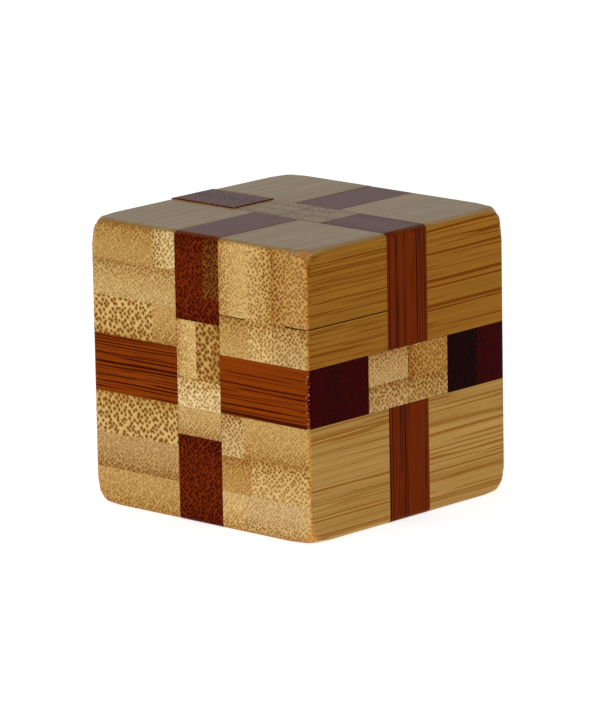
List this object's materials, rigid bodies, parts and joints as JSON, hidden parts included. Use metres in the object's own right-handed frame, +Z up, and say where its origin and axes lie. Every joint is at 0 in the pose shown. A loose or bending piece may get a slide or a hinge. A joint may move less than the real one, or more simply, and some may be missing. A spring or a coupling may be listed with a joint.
{
  "type": "burr puzzle cube",
  "caption": "Solid cube puzzle of laminated bamboo: interlocking notched sticks in pairs along each axis, dark blocks and light corner cubes glued on, with sliding pieces.",
  "frame": {"origin": "centre of the bottom face, on the surface that the cube stands on", "axes": "+Z up, -Y the front, which the key slides out of; the two pieces that slide sideways move along X"},
  "size_m": [0.06, 0.06, 0.06],
  "materials": {
    "light_bamboo": "natural laminated bamboo under a thin gloss lacquer",
    "dark_bamboo": "dark carbonised laminated bamboo under a thin gloss lacquer"
  },
  "bodies": {
    "base": {"base_stick": "light_bamboo", "base_dark_front": "dark_bamboo", "base_dark_back": "dark_bamboo", "base_corner_front_left": "light_bamboo", "base_corner_front_right": "light_bamboo", "base_corner_back_left": "light_bamboo", "base_corner_back_right": "light_bamboo"},
    "key": {"key_stick": "light_bamboo", "key_dark_top": "dark_bamboo", "key_corner_left": "light_bamboo", "key_corner_right": "light_bamboo"},
    "front": {"front_stick": "light_bamboo", "front_dark_left": "dark_bamboo", "front_dark_right": "dark_bamboo"},
    "back": {"back_stick": "light_bamboo", "back_dark_left": "dark_bamboo", "back_dark_right": "dark_bamboo", "back_dark_top": "dark_bamboo", "back_corner_left": "light_bamboo", "back_corner_right": "light_bamboo"},
    "left": {"left_stick": "light_bamboo", "left_dark_bottom": "dark_bamboo", "left_dark_top": "dark_bamboo"},
    "right": {"right_stick": "light_bamboo", "right_dark_bottom": "dark_bamboo", "right_dark_top": "dark_bamboo"}
  },
  "joints": [
    {"name": "key_slide", "type": "slide", "parent": "base", "child": "key", "axis": [0, -1, 0], "range_m": [0, 0.06]},
    {"name": "front_slide", "type": "slide", "parent": "base", "child": "front", "axis": [0, -1, 0], "range_m": [0, 0.006]},
    {"name": "back_slide", "type": "slide", "parent": "base", "child": "back", "axis": [0, 1, 0], "range_m": [0, 0.006]},
    {"name": "left_slide", "type": "slide", "parent": "base", "child": "left", "axis": [-1, 0, 0], "range_m": [0, 0.006]},
    {"name": "right_slide", "type": "slide", "parent": "base", "child": "right", "axis": [1, 0, 0], "range_m": [0, 0.006]}
  ]
}
